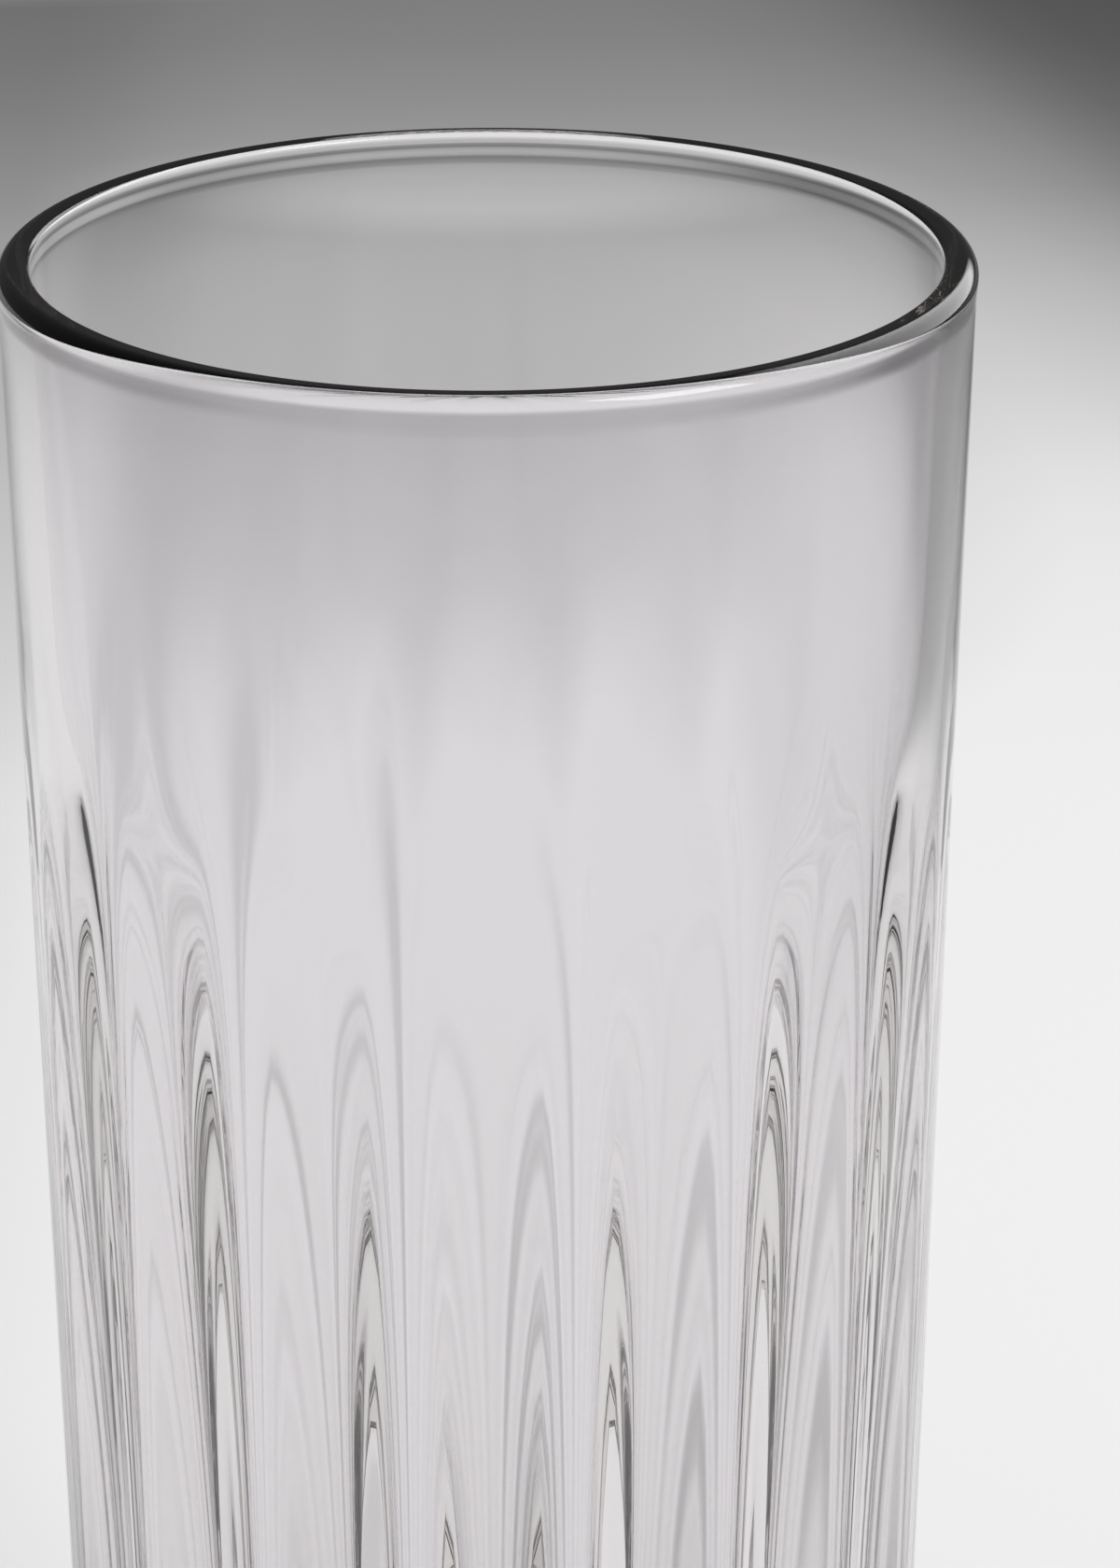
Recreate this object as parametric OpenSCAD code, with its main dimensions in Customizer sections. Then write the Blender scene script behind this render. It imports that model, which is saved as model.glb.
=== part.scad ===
/* [Outside] */
// Height from the resting ring to the top of the rim
glass_h = 148; // [125:1:165]
// Outside diameter at the rim
rim_d = 66; // [60:0.5:74]
// Outside diameter of the straight wall, carried down to the table
foot_d = 58.2; // [54:0.2:60]
// Rounding between the wall and the resting ring
heel_r = 3.5; // [2:0.25:5]

/* [Rim] */
// Width of the fire-polished rim
rim_w = 2.3; // [2.1:0.1:3]
// How much lower the rim's inner edge lies than its outer edge
rim_drop = 0.05; // [0.05:0.05:0.15]
// Rounding of the rim's outer edge
rim_out_r = 1.1; // [0.8:0.05:1.1]
// Rounding of the rim's inner edge
rim_in_r = 0.35; // [0.3:0.05:0.4]
// How far the rim stands proud of the wall outside
bead_out = 0.05; // [0.05:0.05:0.2]
// How far the rim stands proud of the wall inside
bead_in = 0.05; // [0.05:0.05:0.2]

/* [Base] */
// Thickness of glass under the cavity, measured from the table
base_t = 13; // [9:0.5:18]
// Rounding of the cavity's bottom corner
floor_r = 9; // [6:0.5:12]
// Width of the shallow hollow under the base
hollow_d = 38; // [30:1:42]
// Depth of that hollow at its middle
hollow_h = 2; // [1:0.25:3]

/* [Wall and ribs] */
// Wall thickness where the ribs fade out
fade_wall = 2.5; // [2:0.1:3.5]
// Wall thickness beside the ribs at the top of the floor's rounding
low_wall = 3.4; // [2.6:0.1:4.5]
// Number of upright ribs round the inside
rib_count = 16; // [12:1:20]
// Height at which the ribs fade out into the plain wall
rib_top = 115; // [100:1:125]
// Height up to which the ribs have their full depth
rib_full_z = 60; // [45:1:75]
// How far a rib stands proud of the wall at its full depth
rib_rise = 3.3; // [2:0.1:4.2]
// Share of half a rib that its rounded back takes, with a rounded valley beside it
rib_back_share = 0.6; // [0.5:0.05:0.7]

/* [Hidden] */
// Segments round a full circle
round_steps = 96;
// Segments across one rib, an even number
rib_steps = 8;
// Steps along the heel's or the floor's rounding
corner_steps = 6;
// Steps along a quarter of each rounding of the rim
rim_steps = 4;
// Steps up the ribs below, and above, the height up to which they are full
wall_steps = 4;
// Overrun of every cut past the surface that it opens
overrun = 5;

rim_r = rim_d / 2;
foot_r = foot_d / 2;
rim_out_at = [rim_r - rim_out_r, glass_h - rim_out_r];
rim_in_at = [rim_r - rim_w + rim_in_r, glass_h - rim_drop - rim_in_r];
wall_top_r = rim_r - bead_out;
bore_top_r = rim_r - rim_w + bead_in;
bore_fade_r = outer_r(rib_top) - fade_wall;
corner_z = base_t + floor_r;
ring_count = rib_count * rib_steps;

// Outside radius of the straight wall at a height
function outer_r(z) = foot_r + (wall_top_r - foot_r) * z / glass_h;

function round_point(centre, radius, a) = centre + radius * [cos(a), sin(a)];
// Points of a round corner, from one angle to another
function arc(centre, radius, from, to, steps) = [
    for (i = [0 : steps])
        round_point(centre, radius, from + (to - from) * i / steps)
];

// Solid outside of the glass: straight wall tangent to the heel, its top bevelled to lie inside the rim
module outer_body() {
    wall_lean = atan2(wall_top_r - foot_r, glass_h);
    heel_centre_r = outer_r(heel_r) - heel_r / cos(wall_lean);
    rotate_extrude($fn = round_steps)
        polygon(concat(
            [[0, 0]],
            arc([heel_centre_r, heel_r], heel_r, -90, -wall_lean, corner_steps),
            [
                [outer_r(rim_out_at[1]), rim_out_at[1]],
                [rim_out_at[0], rim_in_at[1]],
                [0, rim_in_at[1]]
            ]
        ));
}

// Radius of the cavity beside the ribs, where the wall thickens evenly from their top to the floor
function plain_r(z) =
    outer_r(z) - fade_wall - (low_wall - fade_wall) * (rib_top - z) / (rib_top - corner_z);
// Share of its full depth that a rib has at a height
function depth_share(z) = min(1, (rib_top - z) / (rib_top - rib_full_z));
// Way from the middle of the nearest rib to the valley beside it, at point i of a ring
function across_share(i) =
    abs((i + rib_steps / 2) % rib_steps - rib_steps / 2) / (rib_steps / 2);
// Share of its depth that a rib still has at that point
function section_share(across) =
    across < rib_back_share
        ? 1 - across * across / rib_back_share
        : (1 - across) * (1 - across) / (1 - rib_back_share);
function wall_ring(z) = [
    for (i = [0 : ring_count - 1])
        [plain_r(z) - rib_rise * depth_share(z) * section_share(across_share(i)), z]
];
// One ring of the floor's rounding, along which the ribs run together
function corner_ring(a) = [
    for (p = wall_ring(corner_z))
        [p[0] * cos(a) + (plain_r(corner_z) - rib_rise - floor_r) * (1 - cos(a)),
         corner_z - floor_r * sin(a)]
];
function even_ring(r, z) = [for (i = [0 : ring_count - 1]) [r, z]];

// Room for the drink: one closed surface of rings, from the floor to past the rim
module cavity() {
    bore_slope = (bore_top_r - bore_fade_r) / (rim_in_at[1] - rib_top);
    rings = concat(
        [for (i = [corner_steps : -1 : 1]) corner_ring(90 * i / corner_steps)],
        [for (i = [0 : wall_steps - 1]) wall_ring(corner_z + (rib_full_z - corner_z) * i / wall_steps)],
        [for (i = [0 : wall_steps]) wall_ring(rib_full_z + (rib_top - rib_full_z) * i / wall_steps)],
        [even_ring(bore_top_r + bore_slope * overrun, rim_in_at[1] + overrun)]
    );
    points = [
        for (ring = rings)
            for (i = [0 : ring_count - 1])
                let (a = 360 * i / ring_count, p = ring[i])
                [p[0] * cos(a), p[0] * sin(a), p[1]]
    ];
    last = len(rings) - 1;
    sides = [
        for (k = [0 : last - 1])
            for (i = [0 : ring_count - 1])
                let (j = (i + 1) % ring_count, low = k * ring_count, high = low + ring_count)
                for (side = [[low + i, high + i, low + j], [low + j, high + i, high + j]])
                side
    ];
    floor_face = [for (i = [0 : ring_count - 1]) i];
    top_face = [for (i = [ring_count - 1 : -1 : 0]) last * ring_count + i];
    polyhedron(points, concat(sides, [floor_face, top_face]));
}

// Fire-polished rim: two roundings and the gently sloping top that touches both
module rim() {
    apart = rim_out_at - rim_in_at;
    top_angle = 90 + atan2(apart[1], apart[0]) + asin((rim_out_r - rim_in_r) / norm(apart));
    rotate_extrude($fn = round_steps)
        polygon(concat(
            arc(rim_out_at, rim_out_r, -90, 90, 2 * rim_steps),
            [round_point(rim_out_at, rim_out_r, top_angle)],
            arc(rim_in_at, rim_in_r, top_angle, 180, rim_steps),
            arc(rim_in_at, rim_in_r, 180 + 90 / rim_steps, 270, rim_steps - 1)
        ));
}

// Shallow domed hollow that leaves a flat resting ring
module base_hollow() {
    dome_r = (hollow_d * hollow_d / 4 + hollow_h * hollow_h) / (2 * hollow_h);
    translate([0, 0, hollow_h - dome_r])
        sphere(r = dome_r, $fn = round_steps);
}

module glass() {
    color([0.86, 0.86, 0.88, 0.35]) {
        difference() {
            outer_body();
            cavity();
            base_hollow();
        }
        rim();
    }
}

glass();
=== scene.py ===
"""Looks of a ribbed highball glass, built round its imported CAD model."""
import math

import bpy
import numpy as np
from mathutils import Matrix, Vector


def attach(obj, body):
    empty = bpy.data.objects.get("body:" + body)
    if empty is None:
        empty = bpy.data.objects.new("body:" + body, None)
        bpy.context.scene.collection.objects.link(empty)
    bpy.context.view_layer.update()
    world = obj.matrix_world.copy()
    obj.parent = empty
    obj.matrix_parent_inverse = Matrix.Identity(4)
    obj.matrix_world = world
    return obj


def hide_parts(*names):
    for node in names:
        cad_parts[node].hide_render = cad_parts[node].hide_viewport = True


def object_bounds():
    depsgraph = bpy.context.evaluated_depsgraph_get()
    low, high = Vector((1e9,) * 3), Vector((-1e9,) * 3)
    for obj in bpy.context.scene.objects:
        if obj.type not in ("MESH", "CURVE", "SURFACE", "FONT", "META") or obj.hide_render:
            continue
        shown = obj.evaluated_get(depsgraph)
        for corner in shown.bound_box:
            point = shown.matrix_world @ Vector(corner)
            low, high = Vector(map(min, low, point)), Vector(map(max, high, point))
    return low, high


MM = 0.001

# Sizes of the glass in millimetres, as in its construction but for the softnesses
RIM_W = 2.3
RIM_DROP = 0.05
RIM_OUT_R = 1.1
RIM_IN_R = 0.35
BEAD_OUT = 0.05
BEAD_IN = 0.05
# Height over which the rim's bead fades into the wall
BEAD_FADE_H = 1.6
FOOT_R = 29.1
HEEL_R = 3.5
BASE_T = 13.0
FLOOR_R = 9.0
HOLLOW_R = 19.0
HOLLOW_H = 2.0
FADE_WALL = 2.5
LOW_WALL = 3.4
RIB_COUNT = 16
RIB_TOP = 115.0
RIB_FULL = 60.0
RIB_RISE = 3.3
# Share of half a rib that its rounded back takes, with a rounded valley beside it
BACK_SHARE = 0.6
# Softness with which the ribs begin and reach their full height
FADE_SHARE = 0.06

# Mesh steps
STEPS_PER_RIB = 24
FLOOR_STEPS = 10
CORNER_STEPS = 14
WALL_STEPS = 120
RIM_STEPS = 12
RIM_TOP_STEPS = 4
BEAD_STEPS = 8
OUTSIDE_STEPS = 30
HEEL_STEPS = 10
HOLLOW_STEPS = 10

# The photograph's frame and the camera that fits its rim and walls, in millimetres and degrees
FRAME_PX_W = 1200
FRAME_PX_H = 1680
FOCAL_PX = 7160.9
CAMERA_TO_RIM = 450.0
CAMERA_ELEVATION = 16.12
CAMERA_PITCH = 20.67
CAMERA_ROLL = 0.05
CAMERA_YAW = 0.664
SENSOR_MM = 36.0

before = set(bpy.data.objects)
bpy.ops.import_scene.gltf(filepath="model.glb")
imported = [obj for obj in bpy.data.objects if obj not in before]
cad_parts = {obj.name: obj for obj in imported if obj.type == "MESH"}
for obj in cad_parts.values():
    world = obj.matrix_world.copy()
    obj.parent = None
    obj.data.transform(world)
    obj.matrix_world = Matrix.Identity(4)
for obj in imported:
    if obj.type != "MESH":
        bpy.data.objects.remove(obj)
cad_low, cad_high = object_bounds()
GLASS_H = (cad_high.z - cad_low.z) / MM
RIM_R = min(-cad_low.x, cad_high.x, -cad_low.y, cad_high.y) / MM

RIM_OUT_AT = (RIM_R - RIM_OUT_R, GLASS_H - RIM_OUT_R)
RIM_IN_AT = (RIM_R - RIM_W + RIM_IN_R, GLASS_H - RIM_DROP - RIM_IN_R)
WALL_TOP_R = RIM_R - BEAD_OUT
BORE_TOP_R = RIM_R - RIM_W + BEAD_IN
CORNER_Z = BASE_T + FLOOR_R
RING = RIB_COUNT * STEPS_PER_RIB


def outer_r(z):
    """Outside radius of the straight wall at a height."""
    return FOOT_R + (WALL_TOP_R - FOOT_R) * z / GLASS_H


def soft_above(x, width):
    """x where it is positive, running smoothly to zero over about the width."""
    return width * np.logaddexp(0, x / width)


def section_share(across):
    """How much of its depth a rib still has, by the share of the way from its middle to the valley."""
    back = 1 - across ** 2 / BACK_SHARE
    valley = (1 - across) ** 2 / (1 - BACK_SHARE)
    return np.where(across < BACK_SHARE, back, valley)


def smooth(t):
    """Soft step from 0 to 1."""
    return t * t * (3 - 2 * t)


def inner_ring(z):
    """Radii of the cavity round one height, starting on the middle of a rib."""
    if z > RIB_TOP:
        fade_r = outer_r(RIB_TOP) - FADE_WALL
        plain = fade_r + (BORE_TOP_R - fade_r) * (z - RIB_TOP) / (RIM_IN_AT[1] - RIB_TOP)
        plain -= BEAD_IN * smooth(max(0, (z - RIM_IN_AT[1]) / BEAD_FADE_H + 1))
    else:
        plain = outer_r(z) - FADE_WALL - (LOW_WALL - FADE_WALL) * (RIB_TOP - z) / (RIB_TOP - CORNER_Z)
    place = np.arange(RING) % STEPS_PER_RIB / STEPS_PER_RIB
    across = 2 * np.abs(place - np.round(place))
    begun = soft_above((RIB_TOP - z) / (RIB_TOP - RIB_FULL), FADE_SHARE)
    risen = 1 - soft_above(1 - begun, FADE_SHARE)
    return plain - RIB_RISE * risen * section_share(across)


def even(r):
    """Radii of a round ring."""
    return np.full(RING, r)


def rim_rings():
    """The rim, from its inner rounding over its gently sloping top to the outer rounding."""
    apart = (RIM_OUT_AT[0] - RIM_IN_AT[0], RIM_OUT_AT[1] - RIM_IN_AT[1])
    lean = math.atan2(apart[1], apart[0]) + math.asin((RIM_OUT_R - RIM_IN_R) / math.hypot(*apart))
    top = math.pi / 2 + lean
    inner = [
        (RIM_IN_AT, RIM_IN_R, math.pi + (top - math.pi) * i / RIM_STEPS)
        for i in range(1, RIM_STEPS + 1)
    ]
    outer = [(RIM_OUT_AT, RIM_OUT_R, top - top * i / RIM_STEPS) for i in range(RIM_STEPS + 1)]
    ends = [(at[0] + r * math.cos(a), at[1] + r * math.sin(a)) for at, r, a in inner + outer]
    slope_in, slope_out = ends[RIM_STEPS - 1], ends[RIM_STEPS]
    between = [
        tuple(p + (q - p) * i / RIM_TOP_STEPS for p, q in zip(slope_in, slope_out))
        for i in range(1, RIM_TOP_STEPS)
    ]
    return [(even(r), z) for r, z in ends[:RIM_STEPS] + between + ends[RIM_STEPS:]]


def glass_rings():
    """Rings of (radii, height) of the closed surface, from the cavity's floor over the rim and below."""
    low_ring = inner_ring(CORNER_Z)
    flat_r = low_ring.min() - FLOOR_R
    rings = [(even(flat_r * i / FLOOR_STEPS), BASE_T) for i in range(1, FLOOR_STEPS)]
    for i in range(CORNER_STEPS):
        a = math.pi / 2 * i / CORNER_STEPS
        stand_out = (low_ring - low_ring.min()) * math.sin(a)
        rings.append((flat_r + FLOOR_R * math.sin(a) + stand_out, BASE_T + FLOOR_R * (1 - math.cos(a))))
    bore_fade_z = RIM_IN_AT[1] - BEAD_FADE_H
    rings += [(inner_ring(z), z) for z in np.linspace(CORNER_Z, bore_fade_z, WALL_STEPS)]
    rings += [(inner_ring(z), z) for z in np.linspace(bore_fade_z, RIM_IN_AT[1], BEAD_STEPS)[1:]]
    rings += rim_rings()
    proud = RIM_R - outer_r(RIM_OUT_AT[1])
    for i in range(1, BEAD_STEPS + 1):
        z = RIM_OUT_AT[1] - BEAD_FADE_H * i / BEAD_STEPS
        rings.append((even(outer_r(z) + proud * smooth(1 - i / BEAD_STEPS)), z))
    for z in np.linspace(RIM_OUT_AT[1] - BEAD_FADE_H, HEEL_R, OUTSIDE_STEPS)[1:]:
        rings.append((even(outer_r(z)), z))
    heel_centre_r = outer_r(HEEL_R) - HEEL_R
    for i in range(1, HEEL_STEPS + 1):
        a = math.pi / 2 * i / HEEL_STEPS
        rings.append((even(heel_centre_r + HEEL_R * math.cos(a)), HEEL_R * (1 - math.sin(a))))
    dome_r = (HOLLOW_R ** 2 + HOLLOW_H ** 2) / (2 * HOLLOW_H)
    for i in range(HOLLOW_STEPS):
        r = HOLLOW_R * (1 - i / HOLLOW_STEPS)
        rings.append((even(r), HOLLOW_H - dome_r + math.sqrt(dome_r ** 2 - r ** 2)))
    return rings


def make_glass():
    """The glass as one closed, smooth mesh."""
    rings = glass_rings()
    angles = 2 * math.pi * np.arange(RING) / RING - math.pi / 2
    points = [(0, 0, BASE_T * MM)]
    for radii, z in rings:
        points += [(r * math.cos(a) * MM, r * math.sin(a) * MM, z * MM) for r, a in zip(radii, angles)]
    points.append((0, 0, HOLLOW_H * MM))
    last = len(points) - 1
    faces = []
    for j in range(RING):
        k = (j + 1) % RING
        faces.append((0, 1 + j, 1 + k))
        for n in range(len(rings) - 1):
            low, high = 1 + n * RING, 1 + (n + 1) * RING
            faces.append((low + j, high + j, high + k, low + k))
        faces.append((last, last - RING + k, last - RING + j))
    mesh = bpy.data.meshes.new("highball_glass")
    mesh.from_pydata(points, [], faces)
    mesh.update()
    mesh.polygons.foreach_set("use_smooth", [True] * len(mesh.polygons))
    glass = bpy.data.objects.new("highball_glass", mesh)
    bpy.context.scene.collection.objects.link(glass)
    return glass


def vector_math(tree, operation, point, vector):
    """Node that works on a socket's point and a fixed vector."""
    node = tree.nodes.new("ShaderNodeVectorMath")
    node.operation = operation
    node.inputs[1].default_value = vector
    tree.links.new(point, node.inputs[0])
    return node


def ramp(tree, share, stops):
    """Grey tone that follows a socket's value from 0 to 1 along stops of (value, tone)."""
    node = tree.nodes.new("ShaderNodeValToRGB")
    elements = node.color_ramp.elements
    while len(elements) < len(stops):
        elements.new(HALF)
    for element, (place, tone) in zip(elements, stops):
        element.position = place
        element.color = (tone, tone, tone, 1)
    tree.links.new(share, node.inputs["Fac"])
    return node.outputs["Color"]


def blended(tree, blend_type, first, second):
    """Colour of two sockets, the second one applied in full."""
    node = tree.nodes.new("ShaderNodeMix")
    node.data_type = "RGBA"
    node.blend_type = blend_type
    node.inputs["Factor"].default_value = 1.0
    tree.links.new(first, node.inputs["A"])
    tree.links.new(second, node.inputs["B"])
    return node.outputs["Result"]


def greater(tree, first, second):
    """The greater value of two sockets."""
    node = tree.nodes.new("ShaderNodeMath")
    node.operation = "MAXIMUM"
    tree.links.new(first, node.inputs[0])
    tree.links.new(second, node.inputs[1])
    return node.outputs["Value"]


def linear(level):
    """Linear value of an sRGB level from 0 to 255."""
    c = level / 255
    return c / 12.92 if c <= 0.04045 else ((c + 0.055) / 1.055) ** 2.4


# Middle of a ramp, and what brings a direction's part along Y, from -1 to 1, into a ramp
HALF = 0.5

# Glass: faint lavender-grey tint with paler cords, in linear red, green and blue
GLASS_TINT = (0.915, 0.900, 0.917, 1)
CORD_TINT = (0.931, 0.918, 0.934, 1)
GLASS_IOR = 1.5
# What the glass takes from light that runs far inside it: its warm grey, and its strength in a metre
DEPTH_TINT = (0.5, 0.46, 0.42, 1)
DEPTH_DENSITY = 16.0
# Cords of the moulding, long up the wall: how often they come in a metre across and up, and their depth
CORD_SCALE = (120.0, 120.0, 14.0)
CORD_DETAIL = 1.0
CORD_DEPTH = 0.000005
# How often light may be reflected: thick ribs pass it on inside the wall many times before it leaves
LIGHT_STEPS = 12


def glass_material():
    """Clear glass with faint cords."""
    mat = bpy.data.materials.new("clear_glass")
    mat.use_nodes = True
    tree = mat.node_tree
    shader = tree.nodes["Principled BSDF"]
    shader.inputs["Roughness"].default_value = 0.0
    shader.inputs["IOR"].default_value = GLASS_IOR
    shader.inputs["Transmission Weight"].default_value = 1.0
    place = tree.nodes.new("ShaderNodeTexCoord")
    stretch = tree.nodes.new("ShaderNodeMapping")
    stretch.inputs["Scale"].default_value = CORD_SCALE
    tree.links.new(place.outputs["Object"], stretch.inputs["Vector"])
    cords = tree.nodes.new("ShaderNodeTexNoise")
    cords.inputs["Scale"].default_value = 1.0
    cords.inputs["Detail"].default_value = CORD_DETAIL
    tree.links.new(stretch.outputs["Vector"], cords.inputs["Vector"])
    tint = tree.nodes.new("ShaderNodeMix")
    tint.data_type = "RGBA"
    tint.inputs["A"].default_value = GLASS_TINT
    tint.inputs["B"].default_value = CORD_TINT
    tree.links.new(cords.outputs["Fac"], tint.inputs["Factor"])
    tree.links.new(tint.outputs["Result"], shader.inputs["Base Color"])
    bump = tree.nodes.new("ShaderNodeBump")
    bump.inputs["Distance"].default_value = CORD_DEPTH
    tree.links.new(cords.outputs["Fac"], bump.inputs["Height"])
    tree.links.new(bump.outputs["Normal"], shader.inputs["Normal"])
    depth = tree.nodes.new("ShaderNodeVolumeAbsorption")
    depth.inputs["Color"].default_value = DEPTH_TINT
    depth.inputs["Density"].default_value = DEPTH_DENSITY
    tree.links.new(depth.outputs["Volume"], tree.nodes["Material Output"].inputs["Volume"])
    return mat


# Squeeze of a tone of the floor that is measured in plain metres
EVEN_SQUEEZE = (1.0, 1.0, 1.0)
# Colour of the floor, as sRGB levels by distance in metres from the middle of its painted pool of light
PAINTED_POOL_PLACE = (0.03, 0.0, 0)
PAINTED_POOL_LEVELS = [
    (0.0, 242), (0.3, 242), (0.37, 238), (0.39, 235), (0.41, 230), (0.43, 222), (0.45, 214), (0.475, 205),
    (0.5, 195), (0.55, 168), (0.6, 149), (0.64, 137), (0.67, 132), (0.69, 170), (0.72, 195), (1.0, 200),
]
# Painted falloff of light towards the back right: how much of the floor's colour is left, by a point's dot
# product with a direction
RIGHT_WAY = (3.6, 0.9, 0)
RIGHT_PAINTED_FALLOFF = [
    (0.68, 1.0), (0.755, 0.93), (0.79, 0.86), (0.82, 0.78),
    (0.86, 0.62), (0.89, 0.52), (0.93, 0.45), (1.0, 0.42),
]
# Painted shade in a strip at the left: how much of the floor's colour is left, by a point's dot product
# with a direction
LEFT_WAY = (-1.0, 0, 0)
LEFT_PAINTED_SHADE = [
    (0.035, 1.0), (0.05, 0.93), (0.06, 0.84), (0.07, 0.79), (0.085, 0.8), (0.1, 0.92), (0.115, 1.0),
]
# Painted shadow of the glass on the floor behind it: squeeze across, middle when squeezed, what is left by
# distance
PAINTED_SHADOW_SQUEEZE = (1.5, 1.0, 1.0)
PAINTED_SHADOW_PLACE = (-0.012, 0.39, 0)
PAINTED_SHADOW_FALLOFF = [(0.0, 0.72), (0.03, 0.735), (0.055, 0.775), (0.08, 0.865), (0.1, 0.93), (0.125, 1.0)]
# Light that the glass throws far behind it: squeeze across, middle when squeezed, rise by distance
GLOW_SQUEEZE = (0.5, 1.0, 1.0)
GLOW_PLACE = (0, 0.545, 0)
GLOW_RISE = [(0.0, 1.4), (0.015, 1.36), (0.034, 1.0)]
# Half the floor's side, and how far it lies below the resting ring
FLOOR_HALF = 4.0
FLOOR_GAP = 0.0002
# What the camera, reflections and refractions see above the horizon, from the camera's side to the back
ROOM_LEVELS = [(-1.0, 0.5), (-0.6, 0.3), (-0.2, 0.09), (0.3, 0.07), (0.75, 0.09), (1.0, 0.1)]
# Lit card that they see behind at the right, by the cosine of the angle from its middle
CARD_WAY = (0.62, 0.66, 0.42)
CARD_LEVELS = [(0.86, 0.0), (0.9, 2.5)]
# Even soft light, seen by the floor alone: colour and level
SOFT_COLOUR = (1.0, 1.0, 1.0, 1)
SOFT_LEVEL = 0.784


def floor_material():
    """Matt floor whose colour is the product of its five tones: a painted pool of light, its painted
    falloff, painted shade at the left, a painted shadow of the glass, and the light that the glass throws,
    painted too.
    """
    mat = bpy.data.materials.new("pale_floor")
    mat.use_nodes = True
    tree = mat.node_tree
    shader = tree.nodes["Principled BSDF"]
    shader.inputs["Roughness"].default_value = 1.0
    shader.inputs["Specular IOR Level"].default_value = 0.0
    place = tree.nodes.new("ShaderNodeTexCoord")
    tones = [
        (EVEN_SQUEEZE, "DISTANCE", PAINTED_POOL_PLACE, [(at, linear(level)) for at, level in PAINTED_POOL_LEVELS]),
        (EVEN_SQUEEZE, "DOT_PRODUCT", RIGHT_WAY, RIGHT_PAINTED_FALLOFF),
        (EVEN_SQUEEZE, "DOT_PRODUCT", LEFT_WAY, LEFT_PAINTED_SHADE),
        (PAINTED_SHADOW_SQUEEZE, "DISTANCE", PAINTED_SHADOW_PLACE, PAINTED_SHADOW_FALLOFF),
        (GLOW_SQUEEZE, "DISTANCE", GLOW_PLACE, GLOW_RISE),
    ]
    product = None
    for squeeze, operation, vector, stops in tones:
        squeezed = vector_math(tree, "MULTIPLY", place.outputs["Object"], squeeze)
        measure = vector_math(tree, operation, squeezed.outputs["Vector"], vector)
        tone = ramp(tree, measure.outputs["Value"], stops)
        product = blended(tree, "MULTIPLY", product, tone) if product else tone
    tree.links.new(product, shader.inputs["Base Color"])
    return mat


def make_floor():
    """The pale floor, which belongs to the stage."""
    mesh = bpy.data.meshes.new("floor")
    s = FLOOR_HALF
    mesh.from_pydata([(-s, -s, 0), (s, -s, 0), (s, s, 0), (-s, s, 0)], [], [(0, 1, 2, 3)])
    mesh.materials.append(floor_material())
    floor = bpy.data.objects.new("floor", mesh)
    floor.location.z = cad_low.z - FLOOR_GAP
    bpy.context.scene.collection.objects.link(floor)


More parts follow.
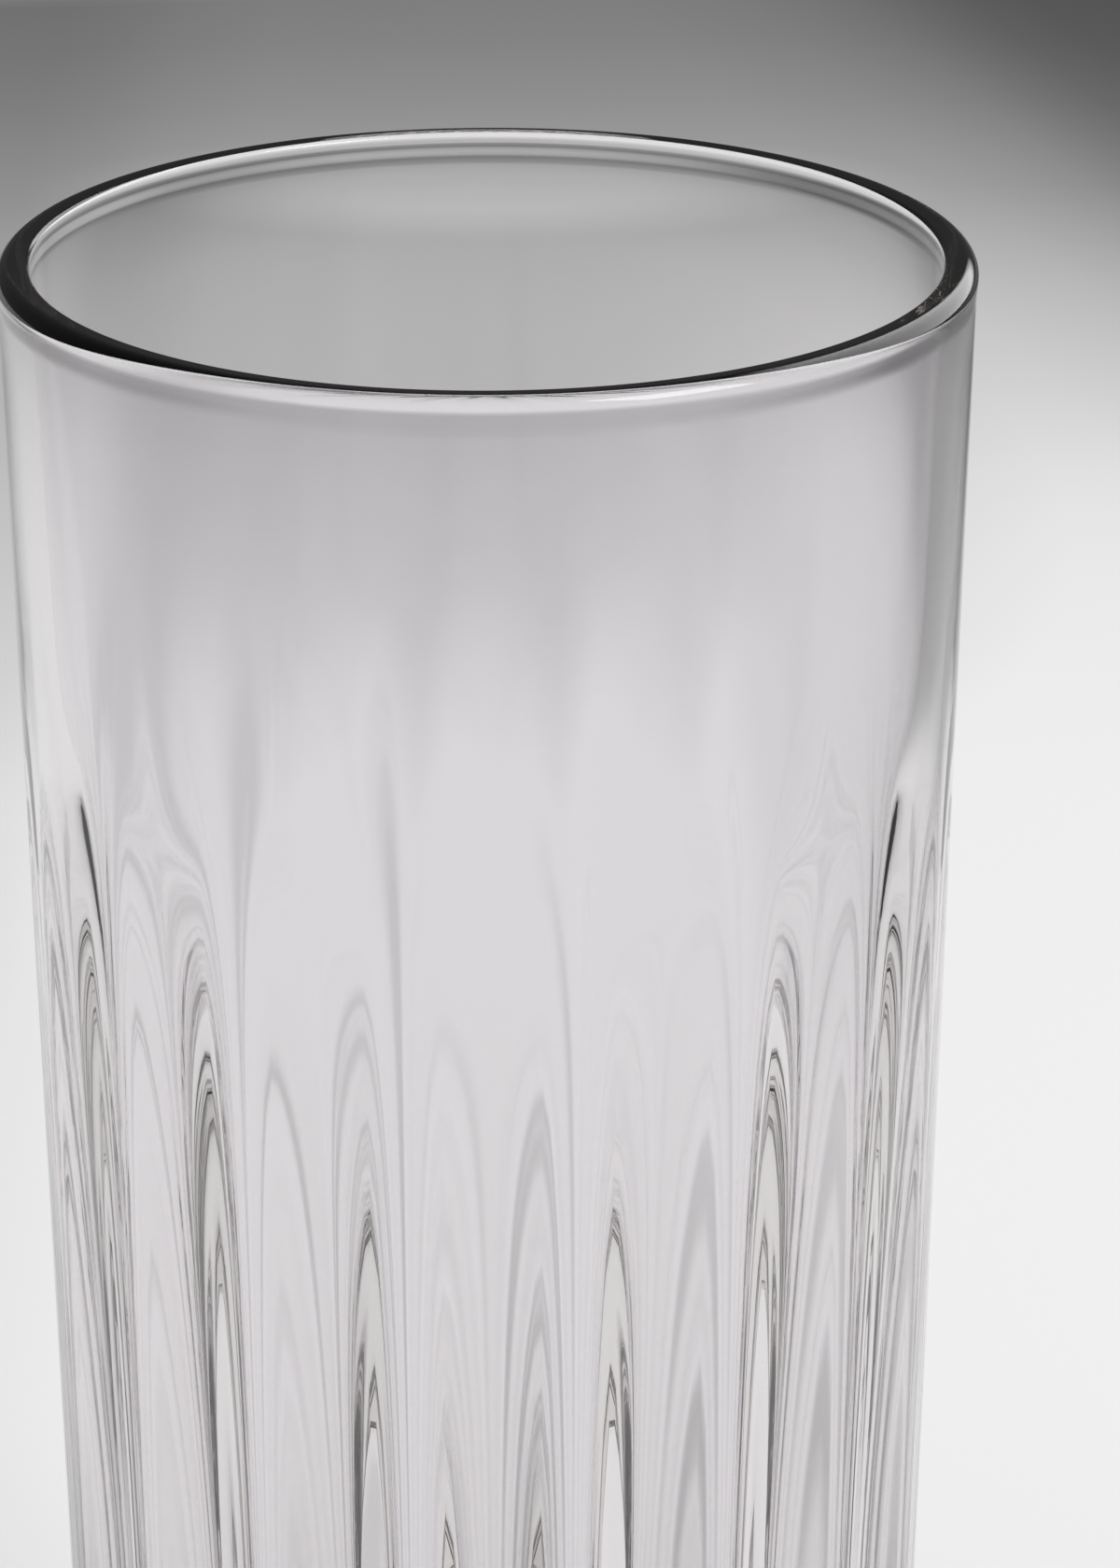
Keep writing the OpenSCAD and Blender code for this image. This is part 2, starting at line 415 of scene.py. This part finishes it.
def make_world():
    """A dim room with a lit card for what is seen, and even soft light for the floor."""
    world = bpy.data.worlds.new("studio")
    bpy.context.scene.world = world
    world.use_nodes = True
    tree = world.node_tree
    tree.nodes.clear()
    out = tree.nodes.new("ShaderNodeOutputWorld")
    soft = tree.nodes.new("ShaderNodeBackground")
    soft.inputs["Color"].default_value = SOFT_COLOUR
    soft.inputs["Strength"].default_value = SOFT_LEVEL
    room = tree.nodes.new("ShaderNodeBackground")
    place = tree.nodes.new("ShaderNodeTexCoord")
    depth = vector_math(tree, "DOT_PRODUCT", place.outputs["Generated"], (0, HALF, 0))
    share = tree.nodes.new("ShaderNodeMath")
    share.operation = "ADD"
    share.inputs[1].default_value = HALF
    tree.links.new(depth.outputs["Value"], share.inputs[0])
    room_tone = ramp(tree, share.outputs["Value"], [(HALF * at + HALF, level) for at, level in ROOM_LEVELS])
    towards = vector_math(tree, "DOT_PRODUCT", place.outputs["Generated"], CARD_WAY)
    card_tone = ramp(tree, towards.outputs["Value"], CARD_LEVELS)
    tree.links.new(blended(tree, "ADD", room_tone, card_tone), room.inputs["Color"])
    rays = tree.nodes.new("ShaderNodeLightPath")
    camera_or_glossy = greater(tree, rays.outputs["Is Camera Ray"], rays.outputs["Is Glossy Ray"])
    seen = greater(tree, camera_or_glossy, rays.outputs["Is Transmission Ray"])
    mix = tree.nodes.new("ShaderNodeMixShader")
    tree.links.new(seen, mix.inputs["Fac"])
    tree.links.new(soft.outputs["Background"], mix.inputs[1])
    tree.links.new(room.outputs["Background"], mix.inputs[2])
    tree.links.new(mix.outputs["Shader"], out.inputs["Surface"])


# Softbox, at the right and in front: side in metres, power in watts
KEY_SIDE = 0.6
KEY_POWER = 6.0
KEY_PLACE = (0.7, -0.5, 1.1)


def make_key():
    """The softbox, aimed at the middle of the glass."""
    lamp = bpy.data.lights.new("key_softbox", "AREA")
    lamp.shape = "SQUARE"
    lamp.size = KEY_SIDE
    lamp.energy = KEY_POWER
    key = bpy.data.objects.new("key_softbox", lamp)
    key.location = KEY_PLACE
    aim = Vector((0, 0, GLASS_H * MM / 2)) - key.location
    key.rotation_euler = aim.to_track_quat("-Z", "Y").to_euler()
    bpy.context.scene.collection.objects.link(key)


def make_camera():
    """The camera, at the photograph's viewpoint."""
    lens = bpy.data.cameras.new("camera")
    lens.sensor_width = SENSOR_MM
    lens.lens = FOCAL_PX * SENSOR_MM / max(FRAME_PX_W, FRAME_PX_H)
    camera = bpy.data.objects.new("camera", lens)
    rise = math.radians(CAMERA_ELEVATION)
    back, up = CAMERA_TO_RIM * math.cos(rise), CAMERA_TO_RIM * math.sin(rise)
    camera.location = (0, -back * MM, (GLASS_H + up) * MM)
    camera.rotation_euler = [math.radians(a) for a in (90 - CAMERA_PITCH, CAMERA_ROLL, -CAMERA_YAW)]
    bpy.context.scene.collection.objects.link(camera)
    bpy.context.scene.camera = camera


make_camera()
glass = make_glass()
glass.data.materials.append(glass_material())
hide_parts("glass")
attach(glass, "root")
make_floor()
make_world()
make_key()
bpy.context.scene.view_settings.view_transform = "Standard"
bpy.context.scene.cycles.glossy_bounces = LIGHT_STEPS
